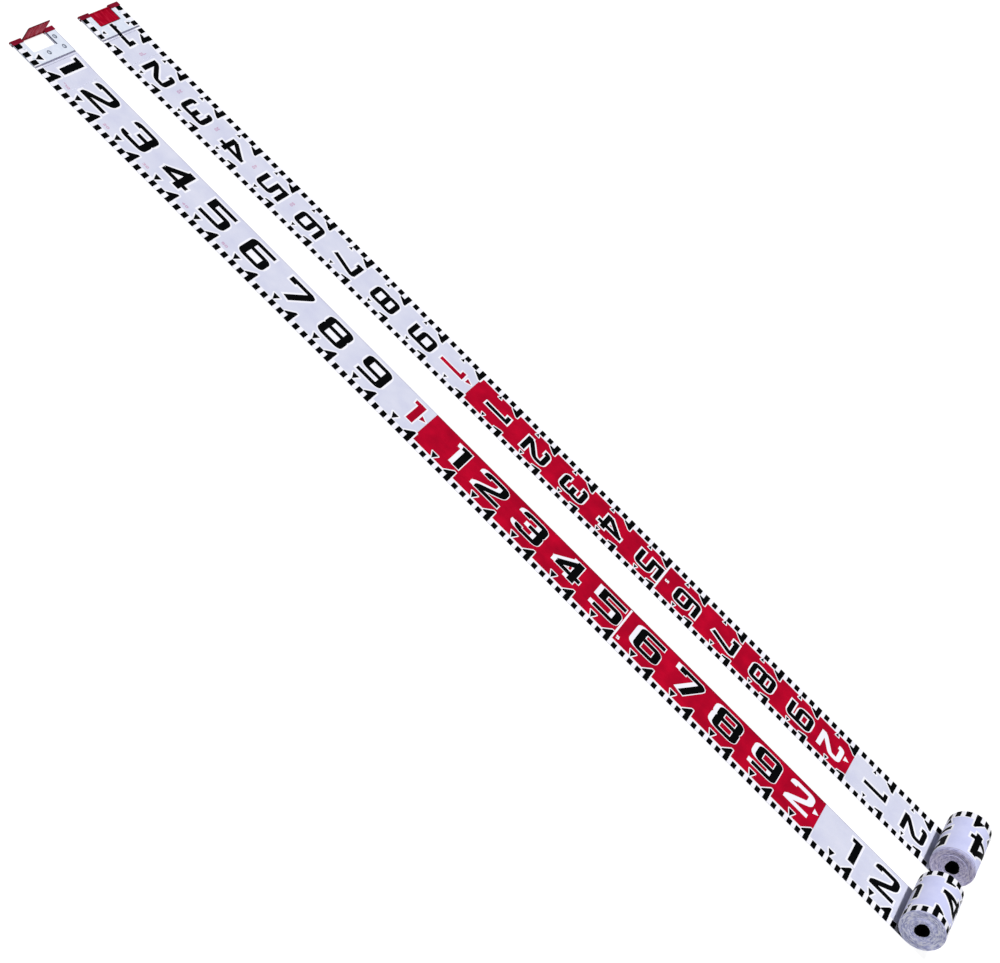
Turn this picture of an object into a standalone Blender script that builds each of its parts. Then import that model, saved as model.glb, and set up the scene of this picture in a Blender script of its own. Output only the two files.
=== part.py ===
"""Flexible leveling rod, a pair laid side by side: zero-end fitting with a folding flap, laid-out
printed tape, and the rest of the tape wound into an open roll.  Metres, +Z up, floor at z = 0.
X runs along the tape from the zero end to the roll, Y across it."""

import math

import bmesh
import bpy

# ---------------------------------------------------------------- driving dimensions (metres)
TAPE_WIDTH = 0.120            # across the tape
TAPE_THICK = 0.0006           # coated woven tape
LAID_LENGTH = 2.2486          # zero end to the roll's axis
ROLL_DIAMETER = 0.087         # over the wound tape
CORE_HOLE = 0.025             # hole left in the middle of the roll
ROD_SPACING = 0.199           # same edge of rod A to rod B
ROD_B_SHIFT = 0.004           # rod B lies this much further along X
FIT_GAP = 0.0003              # clearance between pieces that touch or are clamped

BAR_DEPTH = 0.0100            # end bar along X
BAR_HEIGHT = 0.0050           # end bar over Z
BAR_OVERHANG = 0.0012         # end bar past each edge of the tape
BAR_CORNER = 0.0014           # rounded corners of the end bar's section
SLOT_DEPTH = 0.0030           # groove in the bar's rear that grips plates and tape

PLATE_END = 0.0625            # rear edge of the plates, from the zero end
PLATE_THICK = 0.0008
PLATE_CORNER = 0.0020

FLAP_WIDTH = 0.0630
FLAP_LENGTH = 0.0310          # hinge axis to the flap's free edge
FLAP_THICK = 0.0014
FLAP_CORNER = 0.0030
KNUCKLE_INSET = 0.0003         # knuckle inside the bar's top and bottom
PIN_RADIUS = 0.0009
PIN_CLEARANCE = 0.0002
PIN_HEAD_RADIUS = 0.0015
PIN_HEAD_LENGTH = 0.0006
WINDOW_MARGIN = 0.0007        # free space round the flap in its window

RIVET_HEAD_RADIUS = 0.0034
RIVET_HEAD_HEIGHT = 0.0006
RIVET_SHANK_RADIUS = 0.0013
RIVET_HOLE_CLEARANCE = 0.0002
RIVET_EDGE = 0.0150           # rivet centre from the tape's edge
RIVET_FRONT = 0.0225          # first pair of rivets, from the zero end
RIVET_REAR = 0.0475           # second pair and the middle rivet

RAMP_START = 0.0665           # tape is level with the fitting up to here
RAMP_END = 0.1300             # tape lies on the floor from here on
RAMP_STEPS = 14
ROLL_SEGMENTS = 96

FLAP_ANGLE = {"rod_a": 90.0, "rod_b": 0.0}    # 0 is flat in the window, 90 stands upright

# ---------------------------------------------------------------- sizes that follow from those
AXIS_X = BAR_DEPTH / 2.0
AXIS_Z = BAR_HEIGHT / 2.0
KNUCKLE_RADIUS = AXIS_Z - KNUCKLE_INSET
TAPE_START = BAR_DEPTH - SLOT_DEPTH + FIT_GAP
WINDOW_WIDTH = FLAP_WIDTH + 2.0 * WINDOW_MARGIN
WINDOW_END = AXIS_X + FLAP_LENGTH + WINDOW_MARGIN
LUG_WIDTH = (TAPE_WIDTH - FLAP_WIDTH) / 2.0 - FIT_GAP
STACK = TAPE_THICK + 2.0 * PLATE_THICK + 2.0 * FIT_GAP
ROLL_RADIUS = ROLL_DIAMETER / 2.0
ROLL_Z = TAPE_THICK + FIT_GAP + ROLL_RADIUS
X_ORIGIN = -(LAID_LENGTH + ROLL_RADIUS + ROD_B_SHIFT) / 2.0
Y_ORIGIN = -(ROD_SPACING + TAPE_WIDTH) / 2.0

COLOURS = {
    "tape_print": (0.71, 0.68, 0.86, 1.0),
    "tape_edge": (0.42, 0.42, 0.60, 1.0),
    "plate_white": (0.82, 0.82, 0.88, 1.0),
    "bar_maroon": (0.22, 0.004, 0.016, 1.0),
    "flap_red": (0.58, 0.005, 0.025, 1.0),
    "steel": (0.55, 0.55, 0.57, 1.0),
}


def material(name, metallic=0.0, roughness=0.5):
    """Principled material of the given name, made once."""
    mat = bpy.data.materials.get(name)
    if mat is None:
        mat = bpy.data.materials.new(name)
        mat.use_nodes = True
        shader = mat.node_tree.nodes["Principled BSDF"]
        shader.inputs["Base Color"].default_value = COLOURS[name]
        shader.inputs["Metallic"].default_value = metallic
        shader.inputs["Roughness"].default_value = roughness
    return mat


def make_object(name, bm, mat, origin=(0.0, 0.0, 0.0)):
    """Object of the given name from a bmesh in world coordinates, with its origin moved."""
    bmesh.ops.remove_doubles(bm, verts=bm.verts, dist=1e-6)
    for vert in bm.verts:
        vert.co.x -= origin[0]
        vert.co.y -= origin[1]
        vert.co.z -= origin[2]
    bmesh.ops.recalc_face_normals(bm, faces=bm.faces)
    mesh = bpy.data.meshes.new(name)
    bm.to_mesh(mesh)
    bm.free()
    mesh.materials.append(mat)
    obj = bpy.data.objects.new(name, mesh)
    obj.location = origin
    bpy.context.scene.collection.objects.link(obj)
    return obj


def prism(bm, outline, lo, hi, place):
    """Closed prism on a flat outline; place(u, v, w) turns outline and depth into a point."""
    near = [bm.verts.new(place(u, v, lo)) for u, v in outline]
    far = [bm.verts.new(place(u, v, hi)) for u, v in outline]
    bm.faces.new(near)
    bm.faces.new(list(reversed(far)))
    count = len(outline)
    for i in range(count):
        j = (i + 1) % count
        bm.faces.new((near[j], near[i], far[i], far[j]))


def along_y(u, v, w):
    """Outline in X and Z, depth along Y."""
    return (u, w, v)


def along_z(u, v, w):
    """Outline in X and Y, depth along Z."""
    return (u, v, w)


def rounded(points, radius, steps=4):
    """Outline with each corner of the given points turned into an arc of the given radius."""
    result = []
    count = len(points)
    for i in range(count):
        px, py = points[i - 1]
        cx, cy = points[i]
        nx, ny = points[(i + 1) % count]
        ax, ay = px - cx, py - cy
        bx, by = nx - cx, ny - cy
        la, lb = math.hypot(ax, ay), math.hypot(bx, by)
        ax, ay, bx, by = ax / la, ay / la, bx / lb, by / lb
        half = math.acos(max(-1.0, min(1.0, ax * bx + ay * by))) / 2.0
        r = radius[i] if isinstance(radius, (list, tuple)) else radius
        if r <= 0.0:
            result.append((cx, cy))
            continue
        reach = r / math.tan(half)
        mx, my = ax + bx, ay + by
        lm = math.hypot(mx, my)
        ox = cx + mx / lm * r / math.sin(half)
        oy = cy + my / lm * r / math.sin(half)
        start = math.atan2(cy + ay * reach - oy, cx + ax * reach - ox)
        end = math.atan2(cy + by * reach - oy, cx + bx * reach - ox)
        sweep = (end - start + math.pi) % (2.0 * math.pi) - math.pi
        for k in range(steps + 1):
            t = start + sweep * k / steps
            result.append((ox + r * math.cos(t), oy + r * math.sin(t)))
    return result


def circle(cx, cy, radius, segments):
    """Points round a circle."""
    turn = 2.0 * math.pi / segments
    return [(cx + radius * math.cos(turn * k), cy + radius * math.sin(turn * k))
            for k in range(segments)]


def cutter(name, pieces):
    """Hidden boolean cutter made of prisms, each given as outline, depth range and direction."""
    bm = bmesh.new()
    for outline, lo, hi, place in pieces:
        prism(bm, outline, lo, hi, place)
    bmesh.ops.recalc_face_normals(bm, faces=bm.faces)
    mesh = bpy.data.meshes.new(name)
    bm.to_mesh(mesh)
    bm.free()
    obj = bpy.data.objects.new(name, mesh)
    obj.hide_render = True
    obj.display_type = "WIRE"
    bpy.context.scene.collection.objects.link(obj)
    return obj


def cut(obj, name, pieces):
    """Take the prisms out of the object and drop the cutter."""
    tool = cutter(name, pieces)
    mod = obj.modifiers.new(name, "BOOLEAN")
    mod.operation = "DIFFERENCE"
    mod.solver = "EXACT"
    mod.object = tool
    depsgraph = bpy.context.evaluated_depsgraph_get()
    shaped = bpy.data.meshes.new_from_object(obj.evaluated_get(depsgraph))
    obj.modifiers.clear()
    old = obj.data
    name_kept = old.name
    obj.data = shaped
    bpy.data.meshes.remove(old)
    shaped.name = name_kept
    bpy.data.objects.remove(tool)


def smooth(obj, degrees=32.0):
    """Smooth shading with sharp edges past the given angle."""
    mesh = obj.data
    limit = math.radians(degrees)
    bm = bmesh.new()
    bm.from_mesh(mesh)
    for face in bm.faces:
        face.smooth = True
    for edge in bm.edges:
        edge.smooth = len(edge.link_faces) == 2 and edge.calc_face_angle(0.0) < limit
    bm.to_mesh(mesh)
    bm.free()


def rivet_places():
    """Rivet centres of one fitting, as x and y from the zero end's corner."""
    low = RIVET_EDGE
    high = TAPE_WIDTH - RIVET_EDGE
    return [(RIVET_FRONT, low), (RIVET_FRONT, high), (RIVET_REAR, low), (RIVET_REAR, high),
            (RIVET_REAR, TAPE_WIDTH / 2.0)]


def ramp_height(x):
    """Height of the tape's middle above the floor, smooth from the fitting down to the floor."""
    floor = TAPE_THICK / 2.0
    if x <= RAMP_START:
        return AXIS_Z
    if x >= RAMP_END:
        return floor
    t = (x - RAMP_START) / (RAMP_END - RAMP_START)
    return AXIS_Z + (floor - AXIS_Z) * t * t * (3.0 - 2.0 * t)


def tape_outline(x0, xs):
    """Side view of a stretch of tape: its lower line through the given x, its upper line back."""
    half = TAPE_THICK / 2.0
    lower = [(x0 + x, ramp_height(x) - half) for x in xs]
    upper = [(x0 + x, ramp_height(x) + half) for x in reversed(xs)]
    return lower + upper


def window_outline(x0, y0, front):
    """Outline of the flap's window in plan, open towards the end bar."""
    low = y0 + (TAPE_WIDTH - WINDOW_WIDTH) / 2.0
    high = low + WINDOW_WIDTH
    corners = [(x0 + front, low), (x0 + WINDOW_END, low), (x0 + WINDOW_END, high),
               (x0 + front, high)]
    return rounded(corners, [0.0, FLAP_CORNER, FLAP_CORNER, 0.0])


def rivet_holes(x0, y0):
    """Cutter prisms for the five rivet shanks."""
    radius = RIVET_SHANK_RADIUS + RIVET_HOLE_CLEARANCE
    return [(circle(x0 + x, y0 + y, radius, 20), -0.01, 0.02, along_z) for x, y in rivet_places()]


def build_tape_end(rod, x0, y0):
    """End of the tape, clamped in the fitting, and its ramp down to the floor."""
    ramp = RAMP_END - RAMP_START
    xs = [TAPE_START] + [RAMP_START + ramp * k / RAMP_STEPS for k in range(RAMP_STEPS + 1)]
    bm = bmesh.new()
    prism(bm, tape_outline(x0, xs), y0, y0 + TAPE_WIDTH, along_y)
    obj = make_object(rod + "_tape_end", bm, material("tape_print", roughness=0.45))
    holes = [(window_outline(x0, y0, 0.0), -0.01, 0.02, along_z)]
    holes += rivet_holes(x0, y0)
    cut(obj, rod + "_tape_cut", holes)
    smooth(obj)
    return obj


def build_tape_run(rod, x0, y0):
    """Flat tape on the floor, from the ramp to the line where the roll touches it."""
    bm = bmesh.new()
    prism(bm, tape_outline(x0, [RAMP_END + FIT_GAP, LAID_LENGTH]), y0, y0 + TAPE_WIDTH, along_y)
    return make_object(rod + "_tape_run", bm, material("tape_print", roughness=0.45))


def build_roll(rod, x0, y0):
    """Wound tape: a thick ring whose outer and inner layers each end in a step of one layer."""
    cx = x0 + LAID_LENGTH
    cz = ROLL_Z
    bm = bmesh.new()
    turn = 2.0 * math.pi / ROLL_SEGMENTS
    rings = []
    for y in (y0, y0 + TAPE_WIDTH):
        outer = []
        inner = []
        for k in range(ROLL_SEGMENTS + 1):
            angle = -math.pi / 2.0 + turn * k
            r_out = ROLL_RADIUS - TAPE_THICK * k / ROLL_SEGMENTS
            r_in = CORE_HOLE / 2.0 - TAPE_THICK * k / ROLL_SEGMENTS
            outer.append(bm.verts.new((cx + r_out * math.cos(angle), y, cz + r_out * math.sin(angle))))
            inner.append(bm.verts.new((cx + r_in * math.cos(angle), y, cz + r_in * math.sin(angle))))
        rings.append((outer, inner))
    (out_a, in_a), (out_b, in_b) = rings
    last = ROLL_SEGMENTS
    for k in range(last):
        bm.faces.new((out_a[k], out_a[k + 1], out_b[k + 1], out_b[k]))
        bm.faces.new((in_a[k + 1], in_a[k], in_b[k], in_b[k + 1]))
        if k < last - 1:
            bm.faces.new((out_a[k + 1], out_a[k], in_a[k], in_a[k + 1]))
            bm.faces.new((out_b[k], out_b[k + 1], in_b[k + 1], in_b[k]))
    for out, inn in ((out_a, in_a), (out_b, in_b)):
        bm.faces.new((out[last], out[last - 1], inn[last - 1], inn[last], inn[0], out[0])
                     if out is out_b else
                     (out[0], inn[0], inn[last], inn[last - 1], out[last - 1], out[last]))
    bm.faces.new((out_a[0], out_a[last], out_b[last], out_b[0]))
    bm.faces.new((in_a[0], in_b[0], in_b[last], in_a[last]))
    obj = make_object(rod + "_tape_roll", bm, material("tape_edge", roughness=0.5),
                      (cx, y0 + TAPE_WIDTH / 2.0, cz))
    smooth(obj)
    return obj


def build_plate(rod, level, x0, y0, z0):
    """End plate with its window, open to the bar, and five rivet holes."""
    start = TAPE_START
    outline = rounded([(x0 + start, y0), (x0 + PLATE_END, y0), (x0 + PLATE_END, y0 + TAPE_WIDTH),
                       (x0 + start, y0 + TAPE_WIDTH)], [0.0, PLATE_CORNER, PLATE_CORNER, 0.0])
    bm = bmesh.new()
    prism(bm, outline, z0, z0 + PLATE_THICK, along_z)
    obj = make_object(rod + "_end_plate_" + level, bm, material("plate_white", roughness=0.35))
    holes = [(window_outline(x0, y0, 0.0), -0.01, 0.02, along_z)]
    holes += rivet_holes(x0, y0)
    cut(obj, rod + "_plate_cut_" + level, holes)
    smooth(obj)
    return obj


def build_bar(rod, side, x0, y_lo, y_hi):
    """Half of the end bar: rounded block, grooved at the rear for plates and tape, with pin hole."""
    groove = STACK / 2.0 + FIT_GAP
    rear = x0 + BAR_DEPTH
    deep = rear - SLOT_DEPTH
    corners = [(x0, 0.0), (rear, 0.0), (rear, AXIS_Z - groove), (deep, AXIS_Z - groove),
               (deep, AXIS_Z + groove), (rear, AXIS_Z + groove), (rear, BAR_HEIGHT),
               (x0, BAR_HEIGHT)]
    radii = [BAR_CORNER, 0.0005, 0.0, 0.0, 0.0, 0.0, 0.0005, BAR_CORNER]
    bm = bmesh.new()
    prism(bm, rounded(corners, radii), y_lo, y_hi, along_y)
    obj = make_object(rod + "_end_bar_" + side, bm, material("bar_maroon", roughness=0.4))
    hole = circle(x0 + AXIS_X, AXIS_Z, PIN_RADIUS + PIN_CLEARANCE, 24)
    cut(obj, rod + "_bar_cut_" + side, [(hole, y_lo - 0.002, y_hi + 0.002, along_y)])
    smooth(obj)
    return obj


def build_pin(rod, x0, y0):
    """Hinge pin with a low head at each end, outside the two bar halves."""
    x = x0 + AXIS_X
    out_lo = y0 - BAR_OVERHANG - FIT_GAP
    out_hi = y0 + TAPE_WIDTH + BAR_OVERHANG + FIT_GAP
    stations = [(out_lo - PIN_HEAD_LENGTH, PIN_HEAD_RADIUS * 0.7),
                (out_lo - PIN_HEAD_LENGTH * 0.45, PIN_HEAD_RADIUS), (out_lo, PIN_HEAD_RADIUS),
                (out_lo, PIN_RADIUS), (out_hi, PIN_RADIUS), (out_hi, PIN_HEAD_RADIUS),
                (out_hi + PIN_HEAD_LENGTH * 0.45, PIN_HEAD_RADIUS),
                (out_hi + PIN_HEAD_LENGTH, PIN_HEAD_RADIUS * 0.7)]
    bm = bmesh.new()
    lathe(bm, stations, 20, lambda r, t, s: (x + r * math.cos(t), s, AXIS_Z + r * math.sin(t)))
    obj = make_object(rod + "_hinge_pin", bm, material("steel", 1.0, 0.35))
    smooth(obj)
    return obj


def lathe(bm, stations, segments, place):
    """Closed turned body through the given stations of place along the axis and radius."""
    rings = []
    for s, r in stations:
        rings.append([bm.verts.new(place(r, 2.0 * math.pi * k / segments, s))
                      for k in range(segments)])
    bm.faces.new(rings[0])
    bm.faces.new(list(reversed(rings[-1])))
    for a, b in zip(rings, rings[1:]):
        for k in range(segments):
            j = (k + 1) % segments
            bm.faces.new((a[j], a[k], b[k], b[j]))


def build_flap(rod, x0, y0, degrees):
    """Flap with its knuckle round the pin, turned up from flat by the given angle."""
    lo = y0 + (TAPE_WIDTH - FLAP_WIDTH) / 2.0
    hi = lo + FLAP_WIDTH
    half = FLAP_THICK / 2.0
    join = math.asin(half / KNUCKLE_RADIUS)
    steps = 20
    arc = [(KNUCKLE_RADIUS * math.cos(join + (2.0 * math.pi - 2.0 * join) * k / steps),
            KNUCKLE_RADIUS * math.sin(join + (2.0 * math.pi - 2.0 * join) * k / steps))
           for k in range(steps + 1)]
    section = arc + [(FLAP_LENGTH - half * 0.5, -half), (FLAP_LENGTH, -half * 0.5),
                     (FLAP_LENGTH, half * 0.5), (FLAP_LENGTH - half * 0.5, half)]
    bm = bmesh.new()
    prism(bm, section, lo, hi, along_y)
    obj = make_object(rod + "_flap", bm, material("flap_red", roughness=0.38))
    hole = circle(0.0, 0.0, PIN_RADIUS + PIN_CLEARANCE, 24)
    wide = FLAP_CORNER * 2.0
    corners = []
    for edge, way in ((lo, 1.0), (hi, -1.0)):
        tip = FLAP_LENGTH
        corner = [(tip + wide, edge - way * wide), (tip + wide, edge + way * FLAP_CORNER),
                  (tip, edge + way * FLAP_CORNER)]
        for k in range(1, 6):
            t = 0.5 * math.pi * k / 6.0
            corner.append((tip - FLAP_CORNER * (1.0 - math.cos(t)),
                           edge + way * FLAP_CORNER * (1.0 - math.sin(t))))
        corner += [(tip - FLAP_CORNER, edge), (tip - FLAP_CORNER, edge - way * wide)]
        corners.append((corner, -0.01, 0.01, along_z))
    cut(obj, rod + "_flap_cut", [(hole, lo - 0.002, hi + 0.002, along_y)] + corners)
    angle = math.radians(degrees)
    cosine, sine = math.cos(angle), math.sin(angle)
    axis = (x0 + AXIS_X, y0 + TAPE_WIDTH / 2.0, AXIS_Z)
    for vert in obj.data.vertices:
        u, y, v = vert.co.x, vert.co.y, vert.co.z
        vert.co.x = u * cosine - v * sine
        vert.co.y = y - axis[1]
        vert.co.z = u * sine + v * cosine
    obj.location = axis
    smooth(obj)
    return obj


def build_rivet(rod, number, x, y):
    """Rivet with a low domed head on each face of the fitting."""
    reach = STACK / 2.0 + FIT_GAP
    dome = [(0.0, 1.0), (0.45, 0.97), (0.75, 0.80), (1.0, 0.45)]
    lower = [(AXIS_Z - reach - RIVET_HEAD_HEIGHT * h, RIVET_HEAD_RADIUS * r)
             for h, r in reversed(dome)]
    upper = [(AXIS_Z + reach + RIVET_HEAD_HEIGHT * h, RIVET_HEAD_RADIUS * r) for h, r in dome]
    shank = [(AXIS_Z - reach, RIVET_SHANK_RADIUS), (AXIS_Z + reach, RIVET_SHANK_RADIUS)]
    bm = bmesh.new()
    lathe(bm, lower + shank + upper, 20,
          lambda r, t, s: (x + r * math.cos(t), y + r * math.sin(t), s))
    obj = make_object(rod + "_rivet_" + str(number), bm, material("steel", 1.0, 0.35))
    smooth(obj)
    return obj


def build_rod(rod, x0, y0):
    """All pieces of one rod, with the zero end's corner at x0, y0."""
    build_tape_end(rod, x0, y0)
    build_tape_run(rod, x0, y0)
    build_roll(rod, x0, y0)
    build_plate(rod, "lower", x0, y0, AXIS_Z - TAPE_THICK / 2.0 - FIT_GAP - PLATE_THICK)
    build_plate(rod, "upper", x0, y0, AXIS_Z + TAPE_THICK / 2.0 + FIT_GAP)
    build_bar(rod, "left", x0, y0 - BAR_OVERHANG, y0 + LUG_WIDTH)
    build_bar(rod, "right", x0, y0 + TAPE_WIDTH - LUG_WIDTH, y0 + TAPE_WIDTH + BAR_OVERHANG)
    build_pin(rod, x0, y0)
    build_flap(rod, x0, y0, FLAP_ANGLE[rod])
    for number, (x, y) in enumerate(rivet_places(), start=1):
        build_rivet(rod, number, x0 + x, y0 + y)


for old in list(bpy.data.objects):
    bpy.data.objects.remove(old, do_unlink=True)

build_rod("rod_a", X_ORIGIN, Y_ORIGIN)
build_rod("rod_b", X_ORIGIN + ROD_B_SHIFT, Y_ORIGIN + ROD_SPACING)
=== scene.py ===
"""Looks of the pair of flexible leveling rods: printed cloth tapes laid out from their riveted
zero-end fittings, and the rest of each tape wound into an open roll.  Metres, +Z up."""

import math

import bpy
import numpy as np
from mathutils import Matrix, Vector
from mathutils.geometry import delaunay_2d_cdt


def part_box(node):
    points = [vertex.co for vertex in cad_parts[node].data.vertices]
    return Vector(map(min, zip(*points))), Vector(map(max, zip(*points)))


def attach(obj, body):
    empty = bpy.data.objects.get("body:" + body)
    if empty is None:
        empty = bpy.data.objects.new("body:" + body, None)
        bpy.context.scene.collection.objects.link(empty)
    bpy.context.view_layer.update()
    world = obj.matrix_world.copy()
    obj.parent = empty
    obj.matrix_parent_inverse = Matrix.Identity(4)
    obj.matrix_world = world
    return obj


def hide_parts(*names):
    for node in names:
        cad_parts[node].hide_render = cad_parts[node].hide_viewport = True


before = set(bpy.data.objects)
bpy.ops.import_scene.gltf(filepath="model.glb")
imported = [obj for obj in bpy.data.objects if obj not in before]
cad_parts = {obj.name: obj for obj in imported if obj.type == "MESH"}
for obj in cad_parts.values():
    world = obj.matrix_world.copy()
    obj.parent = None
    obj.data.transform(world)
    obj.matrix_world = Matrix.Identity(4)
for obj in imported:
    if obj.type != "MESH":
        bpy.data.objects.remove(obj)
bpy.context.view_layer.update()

MM = 0.001
CM = 0.010
DM = 0.100                    # decimetre

# ---------------------------------------------------------------- sizes of the cloth (metres)
FULL_WIDTH = 0.120            # across the tape
RAMP_LEAD = 0.004             # cloth stays level this far behind the plates
LAYER_GAP = 0.1 * MM          # air between two turns of the roll
RAMP_LINES = 15               # rows of points down the ramp
FLAT_STEP = 0.25              # and along the flat stretch
TURN_SEGMENTS = 96            # steps in one turn of the roll
CORE_RADIUS = 0.0125          # hole in the middle of the roll
CURL_TURN = 0.85              # part of a turn that the inner end curls inwards
CURL_RADIUS = 0.0048          # where the inner end stops
CURL_EASE = 0.6               # share of the curl's fall that is eased, the rest is even
CORE_SHADE_TURNS = 2.9              # last turns at the core, solid black: painted shade in the roll's hole
RAGGED = (1.5, 1.0)           # turns by which the black's border swings two and three times round
ROLL_DRIFT = 2.5 * MM         # how far the wound turns stand out past the laid tape's edge
DRIFT_TURNS = 1.5             # turns over which that drift and the wander build up
WANDER_STEP = 0.32            # random wander of the turns sideways, millimetres from one to the
WANDER_JUMP = 0.30            # next, and what each turn has on its own
WANDER_LIMIT = 1.6 * MM
UV_SKEW = 0.6 * MM            # of the inner face, so that no cut edge is a line in the UV
MOTTLE_ROUND = 4.5            # scale of the cut edge's mottling round the roll,
MOTTLE_RADIAL = 1.9 * MM      # across the turns
LAID_MOTTLE = 60.0            # and, a metre, along the laid cloth
WINDOW_END = 36.7 * MM        # opening for the flap, from the zero end
WINDOW_WIDTH = 64.4 * MM

# ---------------------------------------------------------------- sizes of the seam (metres)
BINDING_BACK = 1.6 * MM       # middle of the binding, behind the plates
BINDING_HALF = (1.3 * MM, 0.4 * MM)     # half its width and half its height
BINDING_LIFT = 0.1 * MM       # its middle over the cloth
BINDING_INSET = 0.2 * MM      # its ends inside the cloth's edges
BLACK_OVER = (0.2, 3.0)       # millimetres behind the plates where black print runs over it
BLACK_RISE = 0.55 * MM        # height of that print over the cloth
STITCH_BACK = 7.0 * MM        # row of stitches, behind the plates
STITCH_PITCH = 4.0 * MM
STITCH_LENGTH = 3.2 * MM
STITCH_RADIUS = 0.42 * MM
STITCH_RISE = 0.5 * MM        # middle of a stitch over its sunk ends
STITCH_SINK = 0.15 * MM

# ---------------------------------------------------------------- sizes of the print (metres)
LIFT_FIELD = 0.03 * MM        # skins of ink over the cloth, in the order they are printed
LIFT_WHITE = 0.06 * MM
LIFT_TOP = 0.09 * MM
SPREAD = 0.4 * MM             # black ink spreads this far past each mark
INK_SINK = 0.05 * MM          # how far an ink body reaches down into the cloth
MARK_WIDTH = 10 * MM          # upright bar of a decimetre mark
MARK_TOP = 4 * MM             # flat top of that bar
MARK_REACH = 19.5 * MM        # tip of its sloping head, back from the mark
MARK_TIP = (15.5 * MM, 19 * MM)         # height of that tip, low and high
BAND_RED = 19.0 * MM          # white band under the upright face's marks, in a red metre
BAND_PALE = 18.5 * MM         # and in a pale one
BANDS_TURNED = (15.5 * MM, 18.5 * MM)   # white bands along the turned face's two edges
EDGE_DARK = 117.8 * MM        # from here to the edge a red metre is coloured darker
EDGE_GREY = 118.6 * MM        # and a pale one grey
RIM_RED = 2.2 * MM            # white rim round marks on the red field
RIM_PALE = 3.2 * MM           # and on the lavender field
HALF_LINE = 4 * MM            # width of the white line at the half metre

# ================================================================ small helpers


def linear(code):
    """Linear colour, with alpha 1, of an sRGB hex value such as "D8D6EE"."""
    srgb = np.array([int(code[i:i + 2], 16) for i in (0, 2, 4)]) / 255.0
    flat = np.where(srgb <= 0.04045, srgb / 12.92, ((srgb + 0.055) / 1.055) ** 2.4)
    return (*flat.tolist(), 1.0)


def add_node(tree, kind, links=None, **settings):
    """Adds one node: settings are its properties or inputs, links are (input, output socket)."""
    node = tree.nodes.new(kind)
    for key, value in settings.items():
        if key.startswith("in_"):
            name = key[3:]
            name = int(name) if name.isdigit() else name.replace("_", " ")
            node.inputs[name].default_value = value
        else:
            setattr(node, key, value)
    for name, output in (links or {}).items():
        tree.links.new(output, node.inputs[name])
    return node


def start_material(name, roughness, metallic=0.0, ior=1.5, **sockets):
    """New material with its principled shader's uniform values set."""
    mat = bpy.data.materials.new(name)
    mat.use_nodes = True
    tree = mat.node_tree
    shader = tree.nodes["Principled BSDF"]
    shader.inputs["Roughness"].default_value = roughness
    shader.inputs["Metallic"].default_value = metallic
    if not metallic:
        shader.inputs["IOR"].default_value = ior
    for key, value in sockets.items():
        shader.inputs[key.replace("_", " ")].default_value = value
    return mat, tree, shader


def colour_ramp(tree, factor, stops):
    """Colour ramp over (position, sRGB hex) stops, fed by factor."""
    ramp = add_node(tree, "ShaderNodeValToRGB", {"Fac": factor})
    while len(ramp.color_ramp.elements) < len(stops):
        ramp.color_ramp.elements.new(0.5)
    for element, (position, code) in zip(ramp.color_ramp.elements, stops):
        element.position = position
        element.color = linear(code)
    return ramp.outputs["Color"]


def new_piece(name, verts, faces, mats, body, uv, face_mat=None, smooth=False, wind=None):
    """Object at the origin from vertex and face arrays, riding on a body, with its UV in metres
    along and across the cloth, and for cut edges a winding coordinate (see cut_edges)."""
    mesh = bpy.data.meshes.new(name)
    mesh.from_pydata(verts.tolist(), [], faces.tolist())
    for mat in mats:
        mesh.materials.append(mat)
    if face_mat is not None:
        mesh.polygons.foreach_set("material_index", face_mat.astype(np.int32))
    loops = np.empty(len(mesh.loops), dtype=np.int32)
    mesh.loops.foreach_get("vertex_index", loops)
    mesh.uv_layers.new(name="lay").data.foreach_set("uv", uv[loops].ravel())
    if wind is not None:
        winding = mesh.attributes.new("wind", "FLOAT_VECTOR", "POINT")
        winding.data.foreach_set("vector", wind.ravel())
    mesh.polygons.foreach_set("use_smooth", [smooth] * len(mesh.polygons))
    mesh.update()
    obj = bpy.data.objects.new(name, mesh)
    bpy.context.scene.collection.objects.link(obj)
    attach(obj, body)
    return obj


# ================================================================ materials


def weave(tree, pitch=0.8 * MM):
    """Height of a plain weave: product of two sine waves along the cloth's own s and v, drawn
    at 0.8 mm a thread, twice the real spacing, so that it shows.  A wave repeats every 0.314
    over its scale."""
    place = add_node(tree, "ShaderNodeUVMap", uv_map="lay")
    warp, weft = (add_node(tree, "ShaderNodeTexWave", {"Vector": place.outputs["UV"]},
                           bands_direction=way, in_Scale=0.314 / pitch, in_Distortion=0.0)
                  for way in "XY")
    both = add_node(tree, "ShaderNodeMath", {0: warp.outputs["Fac"], 1: weft.outputs["Fac"]},
                    operation="MULTIPLY")
    return place.outputs["UV"], both.outputs[0]


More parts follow.
